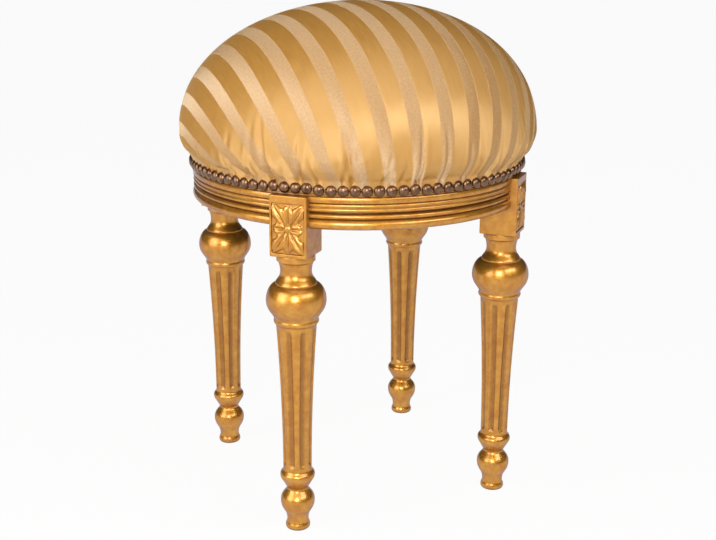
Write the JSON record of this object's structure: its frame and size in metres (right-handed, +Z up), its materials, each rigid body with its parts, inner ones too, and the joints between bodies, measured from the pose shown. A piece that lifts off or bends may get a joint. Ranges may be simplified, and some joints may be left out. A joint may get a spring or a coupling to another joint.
{
  "type": "round upholstered stool",
  "caption": "Round giltwood stool with a domed striped satin seat edged with dome nails, a moulded round rail, rosette blocks and turned fluted legs.",
  "frame": {"origin": "on the floor under the middle of the seat", "axes": "+Z up; a leg stands on each of +X, +Y, -X and -Y, the front one on -Y"},
  "size_m": [0.3786, 0.3786, 0.5126],
  "materials": {
    "gilded_wood": "turned and carved beech, gold leaf over red bole, antiqued",
    "bare_beech": "bare turned beech",
    "jute_webbing": "woven jute",
    "hessian_cloth": "plain woven jute cloth",
    "seat_filling": "open-cell foam",
    "cotton_wadding": "soft cotton batting",
    "striped_satin": "gold satin stripe, alternate satin and matt bands",
    "antique_brass": "domed, dark antique patina rubbed bright on top",
    "black_cambric": "matt black dust cloth",
    "blued_steel": "blued"
  },
  "bodies": {
    "root": {"leg_front": "gilded_wood", "leg_right": "gilded_wood", "leg_back": "gilded_wood", "leg_left": "gilded_wood", "rosette_front": "gilded_wood", "rosette_right": "gilded_wood", "rosette_back": "gilded_wood", "rosette_left": "gilded_wood", "rail_front_right": "gilded_wood", "rail_back_right": "gilded_wood", "rail_back_left": "gilded_wood", "rail_front_left": "gilded_wood", "tenon_pegs": "bare_beech", "webbing_side_to_side": "jute_webbing", "webbing_front_to_back": "jute_webbing", "webbing_tacks": "blued_steel", "hessian": "hessian_cloth", "seat_foam": "seat_filling", "seat_wadding": "cotton_wadding", "seat_cover": "striped_satin", "decorative_nails": "antique_brass", "dust_cover": "black_cambric", "dust_cover_tacks": "blued_steel"}
  },
  "joints": []
}
